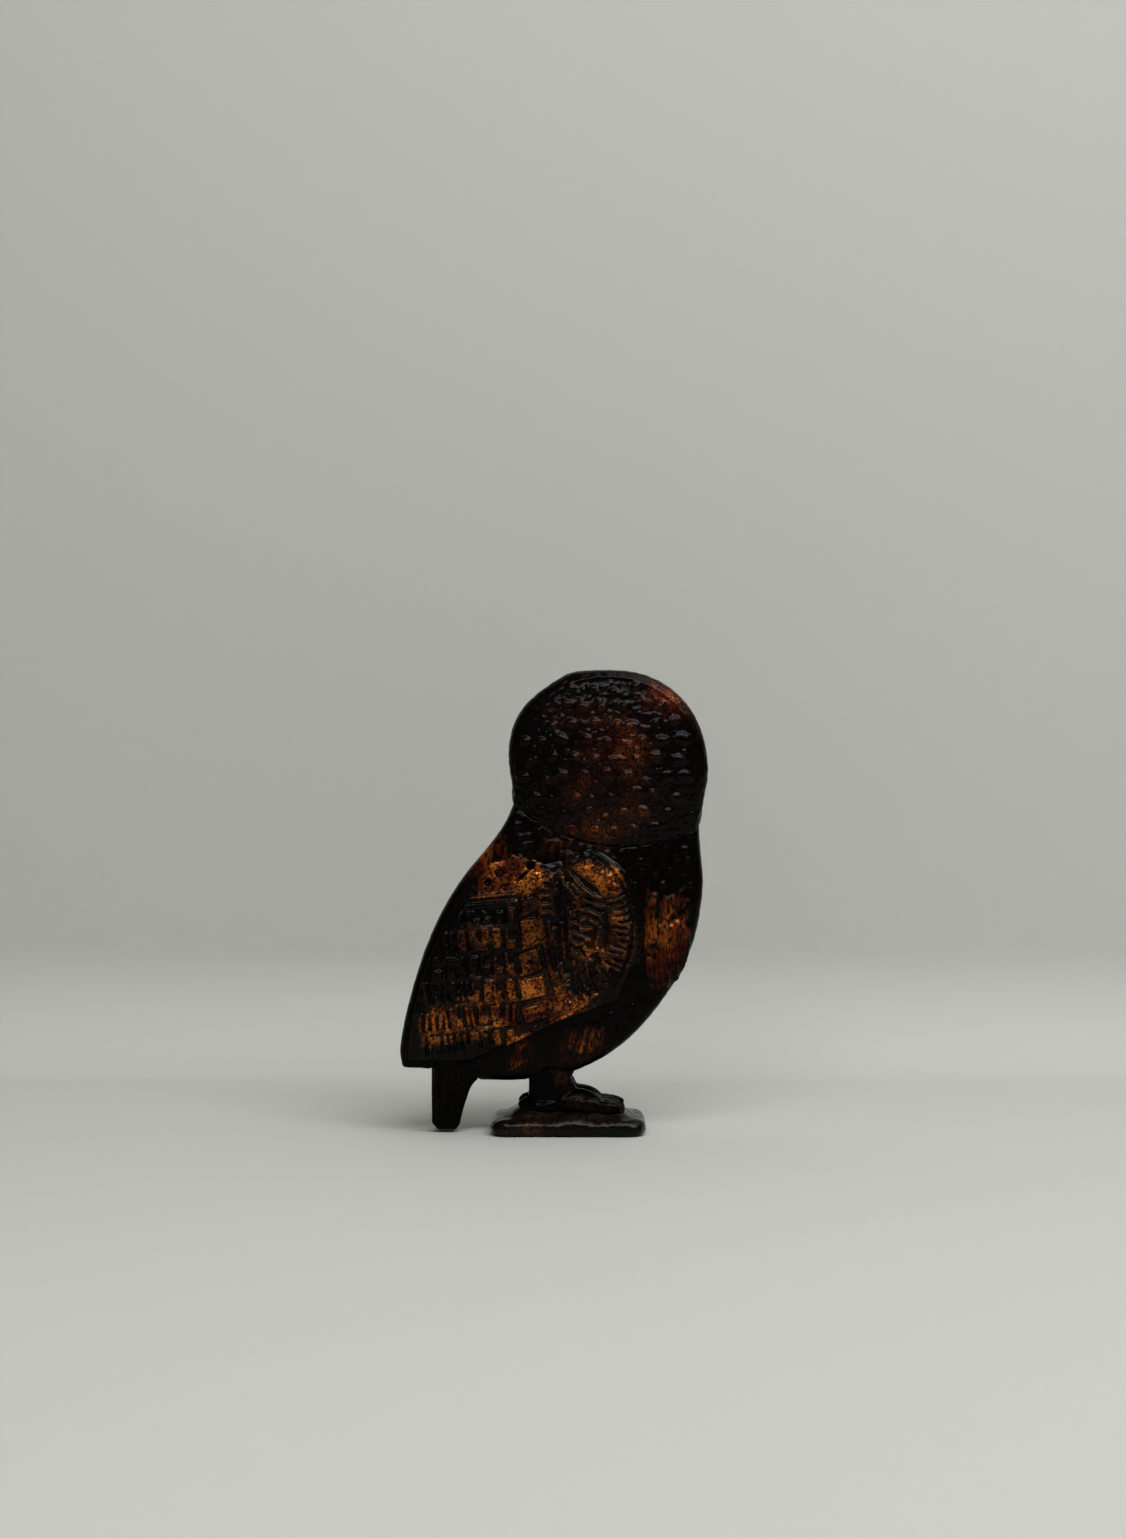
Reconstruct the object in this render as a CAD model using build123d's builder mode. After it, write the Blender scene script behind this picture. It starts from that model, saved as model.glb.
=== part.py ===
"""Small cast-metal owl that stands in profile on a plinth, with its head turned to its left.

The owl faces +X and stands on Z = 0, and its right flank faces -Y. The origin is the centre of
the plinth's underside. The castings are split where a founder parts them: each one has its own
spigot, peg or tongue, which seats in a socket of exactly that shape in its neighbour.
"""

import os
from math import atan2, cos, degrees, hypot, radians, sin, sqrt

from build123d import *

# Driving dimensions, in millimetres
owl_height = 80.0
plinth_size = (26.8, 17.0, 2.9)
mound_foot = (24.0, 14.4, 2.2)  # where the plinth's mound starts
mound_top = (16.4, 9.4, 4.8)  # its height is also where the feet stand

body_centre = (-1.0, 33.0)  # X and Z of the thickest point of the trunk
body_dome = (200.0, 6.6)  # radius of the sphere that each flank follows, and half thickness
head_centre = (6.9, 63.5)
head_dome = (52.0, 7.8)
rim_round = 2.0

wing_lift = 1.1  # how far a wing's ground stands off the trunk's dome
feather_lift = 0.4  # how far a feather stands off the wing's ground
row_pitch = 4.4  # from one row of wing feathers to the next
row_tilt = 6.5  # degrees by which a row falls towards the back
feather_pitch = 2.05
feather_size = (1.55, 3.7)
ring_centre = (1.0, 35.2)
ring_size = (9.6, 12.5)
rib_size = (2.6, 0.62)

knob_pitch = 3.5
knob_size = (0.85, 0.4)  # radius on the head and height above it
face_lift = 0.8
eye_spread = 5.6  # from the beak's line to an eye's centre
eye_radius = 4.3

cut_depth = 12.0  # further from the middle plane than any surface of the owl
leg_x = -3.3
leg_y = 3.2
neck_spigot = (4.0, 12.0)  # radius and length
peg_radius = 1.2
peg_length = 2.0


def dome(centre, size, lift=0.0):
    """A lens between two large spheres, one behind each flank."""
    x, z = centre
    radius, half = size
    with BuildPart(mode=Mode.PRIVATE) as lens:
        with Locations((x, radius - half, z)):
            Sphere(radius + lift)
        with Locations((x, half - radius, z)):
            Sphere(radius + lift, mode=Mode.INTERSECT)
    return lens.part


def dome_height(centre, size, x, z):
    """How far from the middle plane a dome's surface is at the point (x, z)."""
    radius, half = size
    return sqrt(radius**2 - (x - centre[0]) ** 2 - (z - centre[1]) ** 2) - radius + half


def flank_slab(outline, lens, side=-1):
    """What one side of a lens keeps within an outline drawn in X and Z."""
    with BuildPart(mode=Mode.PRIVATE) as slab:
        with BuildSketch(Plane.XZ):
            add(outline)
        extrude(amount=-side * cut_depth)
        add(lens, mode=Mode.INTERSECT)
    return slab.part


def pebble(centre, half_length, radius, pitch=0.0, heading=0.0):
    """An egg-shaped lump whose long axis points along heading and dips by pitch."""
    with BuildPart(mode=Mode.PRIVATE) as lump:
        with BuildSketch():
            Ellipse(half_length, radius)
            Rectangle(2 * half_length, radius, align=(Align.CENTER, Align.MAX), mode=Mode.SUBTRACT)
        revolve(axis=Axis.X)
    return lump.part.moved(Location(centre, (0, pitch, heading)))


def wobble(row, column):
    """A steady value from -1 to 1, which makes hand-cut detail uneven."""
    return sin(3.7 * row + 5.9 * column)


# Head without its relief: a rounded square in outline, seated on the trunk in a shallow saddle
neck_back = (-9.4, 57.2)
neck_front = (22.6, 53.5)
neck_low = (6.5, 50.0)
crown = (6.8, owl_height)
with BuildPart() as skull:
    with BuildSketch(Plane.XZ.offset(cut_depth)):
        with BuildLine():
            Spline(
                neck_back,
                (-10.3, 65.0),
                (-7.7, 73.6),
                (-1.4, 78.6),
                crown,
                tangents=((-0.05, 1), (1, 0)),
            )
            Spline(
                crown,
                (15.4, 78.3),
                (22.2, 71.4),
                (24.1, 64.0),
                neck_front,
                tangents=((1, 0), (-0.2, -1)),
            )
            ThreePointArc(neck_front, neck_low, neck_back)
        make_face()
    extrude(amount=-2 * cut_depth)
    add(dome(head_centre, head_dome), mode=Mode.INTERSECT)
    outline_edges = skull.edges().filter_by(lambda edge: edge.length > 60 and abs(edge.center().Y) > 1)
    fillet(outline_edges, rim_round)

# Trunk without its sockets: back, underside and breast in outline
with BuildPart() as trunk:
    with BuildSketch(Plane.XZ.offset(cut_depth)):
        with BuildLine():
            Spline(
                neck_back,
                (-17.1, 45.6),
                (-24.2, 33.1),
                (-27.7, 22.0),
                (-29.2, 14.0),
                tangents=((-0.3, -1), (-0.1, -1)),
            )
            Polyline((-29.2, 14.0), (-28.6, 11.4), (-24.0, 11.2), (-15.0, 9.2))
            Spline(
                (-15.0, 9.2),
                (1.5, 11.0),
                (9.2, 15.4),
                (16.5, 23.4),
                (21.6, 33.1),
                (23.3, 43.1),
                neck_front,
                tangents=((1, 0), (-0.05, 1)),
            )
            ThreePointArc(neck_front, neck_low, neck_back)
        make_face()
    extrude(amount=-2 * cut_depth)
    add(dome(body_centre, body_dome), mode=Mode.INTERSECT)
    flank_edges = trunk.edges().filter_by(GeomType.BSPLINE).filter_by(
        lambda edge: abs(edge.center().Y) > 1.9
    )
    seat_edges = flank_edges.filter_by(
        lambda edge: edge.center().Z > 45 and -9 < edge.center().X < 19
    )
    fillet(flank_edges - seat_edges, rim_round)

# Plinth: a round-edged slab with a low mound under the feet
plinth_length, plinth_depth, plinth_height = plinth_size
with BuildPart() as plinth:
    with BuildSketch():
        RectangleRounded(plinth_length, plinth_depth, 2.8)
    extrude(amount=plinth_height)
    fillet(plinth.edges().group_by(Axis.Z)[-1], 1.5)
    fillet(plinth.edges().group_by(Axis.Z)[0], 1.1)
    for length, depth, height in (mound_foot, mound_top):
        with BuildSketch(Plane.XY.offset(height)):
            RectangleRounded(length, depth, 2.4)
    loft()
    fillet(plinth.edges().group_by(Axis.Z)[-1], 1.0)

# Legs: thigh, shank and four toes, standing on the plinth's step
toe_pads = [
    # X and Y from the leg's centre line, Z from the mound, half length, radius, heading
    (4.9, 0.0, 0.8, 3.8, 2.2, 0),
    (3.6, -1.1, 0.7, 4.2, 1.35, -12),
    (3.6, 1.1, 0.7, 4.2, 1.35, 12),
    (9.2, -1.7, 0.0, 3.2, 1.05, -9),
    (9.8, 0.0, 0.0, 3.4, 1.1, 0),
    (9.2, 1.7, 0.0, 3.2, 1.05, 9),
    (-2.4, 0.0, 0.2, 3.0, 1.5, 180),
]
leg_peg_z = mound_top[2] - peg_length / 2 + 0.3
with BuildPart() as right_leg:
    for height, half_width in ((mound_top[2] - 0.6, 3.7), (8.2, 3.5), (12.0, 3.9)):
        with BuildSketch(Plane.XY.offset(height)):
            with Locations((leg_x, -leg_y)):
                Ellipse(half_width, 2.0)
    loft()
    add(pebble((leg_x + 2.2, -leg_y, 13.4), 5.6, 1.9, pitch=-24))
    for pad_x, pad_y, pad_z, half_length, radius, heading in toe_pads:
        pad_place = (leg_x + pad_x, pad_y - leg_y, mound_top[2] + pad_z)
        add(pebble(pad_place, half_length, radius, heading=heading))
    add(plinth.part, mode=Mode.SUBTRACT)
    with Locations((leg_x, -leg_y, leg_peg_z)):
        Cylinder(peg_radius, peg_length + 0.6)
with BuildPart() as left_leg:
    mirror(right_leg.part, about=Plane.XZ)
with plinth:
    with Locations((leg_x, -leg_y, leg_peg_z), (leg_x, leg_y, leg_peg_z)):
        Cylinder(peg_radius, peg_length + 0.6, mode=Mode.SUBTRACT)

# Tail: a blunt fan that thickens towards the trunk
with BuildPart() as tail:
    with BuildSketch(Plane.XZ.offset(cut_depth)):
        with BuildLine():
            Polyline((-15.6, 13.4), (-23.6, 13.4), (-23.6, 1.7), (-22.6, 0.6), (-19.4, 0.6), (-18.7, 1.6))
            Spline((-18.7, 1.6), (-17.8, 5.2), (-15.6, 9.4), tangents=((0.1, 1), (0.8, 0.6)))
            Line((-15.6, 9.4), (-15.6, 13.4))
        make_face()
    extrude(amount=-2 * cut_depth)
    with BuildSketch(Plane.YZ.offset(-25)):
        with BuildLine():
            Polyline((0, 0), (2.6, 0), (3.1, 6.0), (4.1, 10.6), (4.1, 13.4), (0, 13.4), (0, 0))
        make_face()
        mirror(about=Plane.YZ)
    extrude(amount=12, mode=Mode.INTERSECT)
    fillet(tail.edges().filter_by(Axis.Z).group_by(Axis.X)[0], 0.9)

# Right wing: ground, rows of feathers, great blocks, quills and the roped band at the shoulder
with BuildSketch(Plane.XZ) as wing_outline:
    with BuildLine():
        Spline(
            (-10.6, 51.8),
            (-3.5, 47.0),
            (3.6, 49.2),
            (10.2, 45.0),
            (13.0, 36.5),
            (12.0, 29.0),
            (8.4, 23.4),
            tangents=((0.5, -0.9), (-0.35, -0.9)),
        )
        Spline((8.4, 23.4), (-4.7, 18.5), (-17.0, 12.9), tangents=((-0.9, -0.4), (-0.9, -0.35)))
        Line((-17.0, 12.9), (-27.8, 12.7))
        Spline(
            (-27.8, 12.7),
            (-26.5, 22.0),
            (-23.0, 32.8),
            (-16.0, 45.0),
            (-10.6, 51.8),
            tangents=((0.1, 1), (0.6, 0.8)),
        )
    make_face()

wing_face = wing_outline.sketch.face()
wing_edge = wing_face.outer_wire()
with BuildSketch(Plane.XZ) as feathers:
    for row in range(7):
        for column in range(11):
            across = -1.1 - column * feather_pitch + 0.25 * wobble(row, column)
            down = -row_pitch * (row + 0.5)
            turn = radians(row_tilt)
            place = (
                -8.5 + across * cos(turn) - down * sin(turn),
                41.4 + across * sin(turn) + down * cos(turn),
            )
            spot = Vector(place[0], 0, place[1])
            if wing_face.is_inside(spot) and wing_edge.distance_to(spot) > 1.9:
                with Locations(place):
                    Rectangle(*feather_size, rotation=row_tilt + 3 * wobble(column, row))
    for block in range(5):
        with Locations((-5.4 + 0.25 * wobble(block, 1), 38.7 - 4.3 * block)):
            Rectangle(3.6, 3.5, rotation=row_tilt + 4 * wobble(block, 2))
    for quill in range(3):
        with Locations((-1.7 + 1.5 * quill, 34.4)):
            Rectangle(0.8, 19 - 2.5 * quill, rotation=6)
    for barb in range(8):
        with Locations((4.9, 27.0 + 2.1 * barb)):
            Rectangle(0.7, 2.6, rotation=-48)
    for rib in range(29):
        angle = -52 + 4.5 * rib
        rib_x = ring_size[0] * cos(radians(angle))
        rib_z = ring_size[1] * sin(radians(angle))
        lie = degrees(atan2(rib_z / ring_size[1] ** 2, rib_x / ring_size[0] ** 2))
        with Locations((ring_centre[0] + rib_x, ring_centre[1] + rib_z)):
            Rectangle(*rib_size, rotation=lie)

wing_dome = dome(body_centre, body_dome, wing_lift)
feather_dome = dome(body_centre, body_dome, wing_lift + feather_lift)
wing_pegs = [(-12.0, 32.0), (3.0, 33.0)]
wing_punches = [(-10.1, 48.4), (-11.6, 45.0), (-13.9, 43.3), (-6.6, 45.2)]
with BuildPart() as right_wing:
    add(flank_slab(wing_outline.sketch, wing_dome))
    add(flank_slab(feathers.sketch, feather_dome))
    add(trunk.part, mode=Mode.SUBTRACT)
    for x, z in wing_punches:
        with Locations((x, -dome_height(body_centre, body_dome, x, z) - wing_lift - 0.5, z)):
            Sphere(1.0, mode=Mode.SUBTRACT)
    for x, z in wing_pegs:
        with Locations((x, 0.6 - dome_height(body_centre, body_dome, x, z), z)):
            Cylinder(peg_radius, peg_length + 0.6, rotation=(90, 0, 0))
with BuildPart() as left_wing:
    mirror(right_wing.part, about=Plane.XZ)

# Body: the trunk with sockets for its neighbours
with BuildPart() as body:
    add(trunk.part)
    for neighbour in (right_leg, left_leg, tail):
        add(neighbour.part, mode=Mode.SUBTRACT)
    with Locations((neck_low[0], 0, neck_low[1])):
        Cylinder(*neck_spigot, mode=Mode.SUBTRACT)
    for x, z in wing_pegs:
        peg_middle = dome_height(body_centre, body_dome, x, z) - 0.6
        with Locations((x, -peg_middle, z), (x, peg_middle, z)):
            Cylinder(peg_radius, peg_length + 0.6, rotation=(90, 0, 0), mode=Mode.SUBTRACT)

# Head: knobs of plumage on both sides, and a spigot that seats in the body
face_middle = (head_centre[0], 65.0)
face_peg = (head_centre[0], 7.4, 62.0)
with BuildPart() as head:
    add(skull.part)
    knob_radius, knob_height = knob_size
    knob_ball = (knob_radius**2 + knob_height**2) / (2 * knob_height)
    for row in range(9):
        for column in range(10):
            x = -9.0 + knob_pitch * (column + 0.5 * (row % 2)) + 0.4 * wobble(row, column)
            z = 52.6 + 0.87 * knob_pitch * row + 0.4 * wobble(column, row)
            on_crown = hypot(x - head_centre[0], z - head_centre[1] + 0.3) < 14.6
            in_face = hypot(x - face_middle[0], z - face_middle[1]) < 13.0
            depth = dome_height(head_centre, head_dome, x, z) + knob_height - knob_ball
            if on_crown:
                with Locations((x, -depth, z)):
                    Sphere(knob_ball)
            if on_crown and not in_face:
                with Locations((x, depth, z)):
                    Sphere(knob_ball)
    add(trunk.part, mode=Mode.SUBTRACT)
    with Locations((neck_low[0], 0, neck_low[1] - neck_spigot[1] / 4)):
        Cylinder(neck_spigot[0], neck_spigot[1] / 2)
    with Locations(face_peg):
        Cylinder(peg_radius, peg_length + 0.6, rotation=(90, 0, 0), mode=Mode.SUBTRACT)

# Face: a heart-shaped disc with a ringed eye on each side of a hooked beak
eye_centres = [(face_middle[0] - eye_spread, 66.4), (face_middle[0] + eye_spread, 66.4)]
face_dome = dome(head_centre, head_dome, face_lift)
ring_dome = dome(head_centre, head_dome, face_lift + 0.5)
with BuildSketch(Plane.XZ) as face_outline:
    for x, z in eye_centres:
        with Locations((x, z)):
            Circle(eye_radius + 1.5)
    with BuildLine():
        Polyline(
            (face_middle[0] - 10.6, 63.0),
            (face_middle[0], 55.2),
            (face_middle[0] + 10.6, 63.0),
            (face_middle[0], 69.4),
            (face_middle[0] - 10.6, 63.0),
        )
    make_face()
with BuildSketch(Plane.XZ) as eye_rings:
    for x, z in eye_centres:
        with Locations((x, z)):
            Circle(eye_radius)
            Circle(eye_radius - 0.8, mode=Mode.SUBTRACT)
with BuildPart() as face:
    add(flank_slab(face_outline.sketch, face_dome, side=1))
    add(flank_slab(eye_rings.sketch, ring_dome, side=1))
    for x, z in eye_centres:
        with Locations((x, dome_height(head_centre, head_dome, x, z) - 1.0, z)):
            Sphere(2.7)
    add(pebble((face_middle[0], 8.3, 61.8), 4.4, 1.9, pitch=90))
    add(skull.part, mode=Mode.SUBTRACT)
    with Locations(face_peg):
        Cylinder(peg_radius, peg_length + 0.6, rotation=(90, 0, 0))

os.makedirs("parts", exist_ok=True)
plinth.part.label = "plinth"
export_step(plinth.part, "parts/plinth.step")
right_leg.part.label = "right_leg"
export_step(right_leg.part, "parts/right_leg.step")
left_leg.part.label = "left_leg"
export_step(left_leg.part, "parts/left_leg.step")
body.part.label = "body"
export_step(body.part, "parts/body.step")
tail.part.label = "tail"
export_step(tail.part, "parts/tail.step")
right_wing.part.label = "right_wing"
export_step(right_wing.part, "parts/right_wing.step")
left_wing.part.label = "left_wing"
export_step(left_wing.part, "parts/left_wing.step")
head.part.label = "head"
export_step(head.part, "parts/head.step")
face.part.label = "face"
export_step(face.part, "parts/face.step")
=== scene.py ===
import bpy
import math
import random
from mathutils import Matrix, Vector, noise
from mathutils.bvhtree import BVHTree


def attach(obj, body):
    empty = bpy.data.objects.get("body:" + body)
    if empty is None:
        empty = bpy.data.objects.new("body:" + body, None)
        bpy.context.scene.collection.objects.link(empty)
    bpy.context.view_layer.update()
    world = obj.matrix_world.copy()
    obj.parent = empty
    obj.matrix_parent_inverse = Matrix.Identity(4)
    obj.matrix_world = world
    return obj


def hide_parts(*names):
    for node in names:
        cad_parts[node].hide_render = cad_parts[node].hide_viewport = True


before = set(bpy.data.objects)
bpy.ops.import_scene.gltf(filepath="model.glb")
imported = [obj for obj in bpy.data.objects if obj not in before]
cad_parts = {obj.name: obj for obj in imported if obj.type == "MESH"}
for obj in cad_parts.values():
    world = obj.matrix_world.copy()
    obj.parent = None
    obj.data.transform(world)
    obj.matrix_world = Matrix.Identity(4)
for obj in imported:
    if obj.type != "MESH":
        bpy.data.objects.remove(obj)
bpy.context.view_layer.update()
mm = 0.001


def activate(obj):
    if bpy.context.object and bpy.context.object.mode != "OBJECT":
        bpy.ops.object.mode_set(mode="OBJECT")
    bpy.ops.object.select_all(action="DESELECT")
    obj.select_set(True)
    bpy.context.view_layer.objects.active = obj


def applyModifier(obj, kind, **settings):
    activate(obj)
    modifier = obj.modifiers.new(kind.lower(), kind)
    for name, value in settings.items():
        setattr(modifier, name, value)
    bpy.ops.object.modifier_apply(modifier=modifier.name)


def copyNode(node, name):
    # a free copy of a node, with its split corners merged
    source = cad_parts[node]
    copied = bpy.data.objects.new(name, source.data.copy())
    bpy.context.scene.collection.objects.link(copied)
    copied.matrix_world = source.matrix_world
    activate(copied)
    bpy.ops.object.transform_apply(location=True, rotation=True, scale=True)
    bpy.ops.object.mode_set(mode="EDIT")
    bpy.ops.mesh.select_all(action="SELECT")
    bpy.ops.mesh.remove_doubles(threshold=0.002 * mm)
    bpy.ops.object.mode_set(mode="OBJECT")
    copied.data.materials.clear()
    return copied


shapes = {}


def shapeMesh(kind, segments=16):
    # one primitive of each kind, made once and stamped many times
    key = (kind, segments)
    if key not in shapes:
        if kind == "cube":
            bpy.ops.mesh.primitive_cube_add(size=1.0)
        else:
            bpy.ops.mesh.primitive_uv_sphere_add(segments=segments, ring_count=segments // 2, radius=1.0)
        shapes[key] = bpy.context.object.data
        bpy.data.objects.remove(bpy.context.object)
    return shapes[key]


def remesh(obj, size):
    applyModifier(obj, "REMESH", mode="VOXEL", voxel_size=size * mm * 1.0)


def soften(obj, times):
    applyModifier(obj, "SMOOTH", factor=0.5, iterations=times)


def roughen(obj, name, size, strength):
    # an uneven cast surface
    clouds = bpy.data.textures.new(name, "CLOUDS")
    clouds.noise_scale = size * mm
    clouds.noise_depth = 2
    applyModifier(obj, "DISPLACE", texture=clouds, texture_coords="LOCAL",
                  strength=strength * mm, mid_level=0.5)


def joined(base, *others):
    activate(base)
    for other in others:
        other.select_set(True)
    bpy.ops.object.join()
    return base


def carve(obj, cutters, size):
    # takes the cutters' shapes out of obj; all are closed meshes by now
    cutter = cutters[0]
    cutter.data = cutter.data.copy()
    joined(cutter, *cutters[1:])
    bpy.ops.object.transform_apply(location=True, rotation=True, scale=True)
    remesh(cutter, size)
    activate(obj)
    cut = obj.modifiers.new("carve", "BOOLEAN")
    cut.operation = "DIFFERENCE"
    cut.solver = "MANIFOLD"
    cut.object = cutter
    bpy.ops.object.modifier_apply(modifier=cut.name)
    bpy.data.objects.remove(cutter)


class Flank:
    # stamps small shapes on one side of a blank: x and z in mm, side -1 is the owl's right
    barLength = 3.0     # mm, the longest bar in a stroke

    def __init__(self, blank, side, stamps):
        self.surface = BVHTree.FromObject(blank, bpy.context.evaluated_depsgraph_get())
        self.side = side
        self.stamps = stamps

    def stamp(self, mesh, x, z, scale, angle):
        start = Vector((x * mm, self.side * 0.03, z * mm))
        place, normal, _, _ = self.surface.ray_cast(start, Vector((0, -self.side, 0)))
        if place is None:
            return
        # turn is counted as seen from the owl's right, so it is mirrored on the left
        turn = math.radians(angle) if self.side < 0 else math.pi - math.radians(angle)
        shape = bpy.data.objects.new("stamp", mesh)
        shape.location = place
        upright = normal.to_track_quat("Z", "Y").to_matrix()
        shape.rotation_euler = (upright @ Matrix.Rotation(turn, 3, "Z")).to_euler()
        shape.scale = [value * mm for value in scale]
        bpy.context.scene.collection.objects.link(shape)
        self.stamps.append(shape)

    def blob(self, x, z, halfWide, halfTall, height, angle=0.0, segments=16):
        self.stamp(shapeMesh("sphere", segments), x, z, (halfWide, halfTall, height), angle)

    def block(self, x, z, wide, tall, height, angle=0.0):
        self.stamp(shapeMesh("cube"), x, z, (wide, tall, 2 * height), angle)

    def stroke(self, points, wide, height):
        # a ridge through the points, built of overlapping bars
        for (x0, z0), (x1, z1) in zip(points, points[1:]):
            long = math.hypot(x1 - x0, z1 - z0)
            angle = math.degrees(math.atan2(z1 - z0, x1 - x0))
            pieces = max(1, round(long / self.barLength))
            bar = long / pieces + 0.4 * wide
            for n in range(pieces):
                t = (n + 0.5) / pieces
                self.block(x0 + (x1 - x0) * t, z0 + (z1 - z0) * t, bar, wide, height, angle)


def arc(x, z, halfWide, halfTall, start, end, step=8):
    # points on an ellipse; angles in degrees
    return [(x + halfWide * math.cos(math.radians(a)), z + halfTall * math.sin(math.radians(a)))
            for a in range(start, end, step)]


def linearColour(code):
    # sRGB hex to linear
    values = [int(code[i:i + 2], 16) / 255 for i in (1, 3, 5)]
    return [v / 12.92 if v <= 0.04045 else ((v + 0.055) / 1.055) ** 2.4 for v in values] + [1.0]


def addNode(tree, kind, settings=None, links=None):
    # settings sets fields or unlinked sockets; links joins a socket to (node, output)
    node = tree.nodes.new(kind)
    for name, value in (settings or {}).items():
        if isinstance(name, int) or name in node.inputs.keys():
            node.inputs[name].default_value = value
        else:
            setattr(node, name, value)
    for name, (source, output) in (links or {}).items():
        tree.links.new(source.outputs[output], node.inputs[name])
    return node


def patinaMaterial(name, look):
    # near-black waxed bronze patina, rubbed through to copper on what stands proud
    material = bpy.data.materials.new(name)
    material.use_nodes = True
    tree = material.node_tree
    tree.nodes.clear()
    place = addNode(tree, "ShaderNodeTexCoord")
    lift = addNode(tree, "ShaderNodeAttribute", {"attribute_name": "lift"})
    rub = addNode(tree, "ShaderNodeAttribute", {"attribute_name": "rub"})
    drawn = addNode(tree, "ShaderNodeMapping", {"Scale": (1.0, 1.0, look["streak"])},
                    {"Vector": (place, "Object")})
    grain = addNode(tree, "ShaderNodeTexNoise",
                    {"Scale": 1 / (look["grainSize"] * mm), "Detail": 4.0, "Roughness": 0.65},
                    {"Vector": (drawn, "Vector")})
    cloud = addNode(tree, "ShaderNodeTexNoise", {"Scale": 1 / (look["cloudSize"] * mm), "Detail": 3.0},
                    {"Vector": (place, "Object")})
    # what is rubbed: the zone's wear times the height of the relief, broken up by grain
    proud = addNode(tree, "ShaderNodeMapRange",
                    {"From Min": look["liftLow"], "From Max": look["liftHigh"], "To Min": look["lowWear"]},
                    {"Value": (lift, "Fac")})
    worn = addNode(tree, "ShaderNodeMath", {"operation": "MULTIPLY"}, {0: (proud, "Result"), 1: (rub, "Fac")})
    speck = addNode(tree, "ShaderNodeMapRange",
                    {"From Min": 0.41, "From Max": 0.59, "To Min": 0.0, "To Max": 1.35},
                    {"Value": (grain, "Fac")})
    patch = addNode(tree, "ShaderNodeMapRange",
                    {"From Min": 0.35, "From Max": 0.65, "To Min": 0.55, "To Max": 1.2},
                    {"Value": (cloud, "Fac")})
    broken = addNode(tree, "ShaderNodeMath", {"operation": "MULTIPLY"}, {0: (worn, 0), 1: (speck, "Result")})
    wear = addNode(tree, "ShaderNodeMath", {"operation": "MULTIPLY", "use_clamp": True},
                   {0: (broken, 0), 1: (patch, "Result")})
    # rubbed metal goes from a red brown to orange
    copper = addNode(tree, "ShaderNodeValToRGB", None, {"Fac": (cloud, "Fac")})
    copper.color_ramp.elements[0].position = 0.40
    copper.color_ramp.elements[0].color = linearColour(look["rubbedRed"])
    copper.color_ramp.elements[1].position = 0.60
    copper.color_ramp.elements[1].color = linearColour(look["rubbedGold"])
    dark = addNode(tree, "ShaderNodeMix", {"data_type": "RGBA"}, {"Factor": (grain, "Fac")})
    dark.inputs[6].default_value = linearColour(look["patinaDark"])
    dark.inputs[7].default_value = linearColour(look["patinaLight"])
    colour = addNode(tree, "ShaderNodeMix", {"data_type": "RGBA"}, {"Factor": (wear, 0)})
    tree.links.new(dark.outputs[2], colour.inputs[6])
    tree.links.new(copper.outputs[0], colour.inputs[7])
    metal = addNode(tree, "ShaderNodeMapRange", {"To Min": 0.0, "To Max": 0.85}, {"Value": (wear, 0)})
    gloss = addNode(tree, "ShaderNodeMapRange",
                    {"To Min": look["patinaRoughness"], "To Max": look["rubbedRoughness"]},
                    {"Value": (wear, 0)})
    bump = addNode(tree, "ShaderNodeBump", {"Strength": 0.35, "Distance": 0.06 * mm},
                   {"Height": (grain, "Fac")})
    surface = addNode(tree, "ShaderNodeBsdfPrincipled", {"Specular IOR Level": look["wax"]},
                      {"Metallic": (metal, "Result"), "Roughness": (gloss, "Result"),
                       "Normal": (bump, "Normal")})
    tree.links.new(colour.outputs[2], surface.inputs["Base Color"])
    addNode(tree, "ShaderNodeOutputMaterial", None, {"Surface": (surface, "BSDF")})
    return material


trunkForm = {"radius": 200.0, "x": -1.0, "z": 33.0, "below": 193.4}      # mm
skullForm = {"radius": 52.0, "x": 6.9, "z": 63.5, "below": 44.2}


def trunkDepth(x, z, form=trunkForm):
    # the flank of the trunk, in mm from the middle plane: part of a large sphere
    return math.sqrt(form["radius"] ** 2 - (x - form["x"]) ** 2 - (z - form["z"]) ** 2) - form["below"]


def headDepth(x, z):
    return trunkDepth(x, z, skullForm)


def paintWear(obj, depth, height, zones, pit=9.0):
    # lift: how far the relief stands off its ground; rub: how worn that zone is
    # holes deeper than pit stay black
    mesh = obj.data
    count = len(mesh.vertices)
    lift = [0.5] * count
    rub = [0.0] * count
    for n, vertex in enumerate(mesh.vertices):
        x, y, z = (value / mm for value in vertex.co)
        if depth:
            stand = abs(y) - depth(x, z)
            lift[n] = min(1.0, max(0.0, stand / height))
            if stand < -pit:
                continue
        # ragged edges to every zone
        coarse, fine = noise.noise(vertex.co / (2.4 * mm)), noise.noise(vertex.co / (0.8 * mm))
        ragged = 1.0 + 0.55 * coarse + 0.5 * fine
        for zoneX, zoneZ, wide, tall, amount, even in zones:
            reach = (((x - zoneX) / wide) ** 2 + ((z - zoneZ) / tall) ** 2) * ragged
            if reach < 1.0:
                fade = (1.0 - reach) ** 0.6
                rub[n] = max(rub[n], amount * fade)
                lift[n] = max(lift[n], even * fade)
    for name, values in (("lift", lift), ("rub", rub)):
        mesh.attributes.new(name, "FLOAT", "POINT").data.foreach_set("value", values)


def finishPiece(obj, node, material):
    activate(obj)
    bpy.ops.object.shade_smooth()
    obj.data.materials.clear()
    obj.data.materials.append(material)
    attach(obj, "root")
    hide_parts(node)
    print(obj.name, "has", sum(len(p.vertices) - 2 for p in obj.data.polygons), "triangles")


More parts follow.
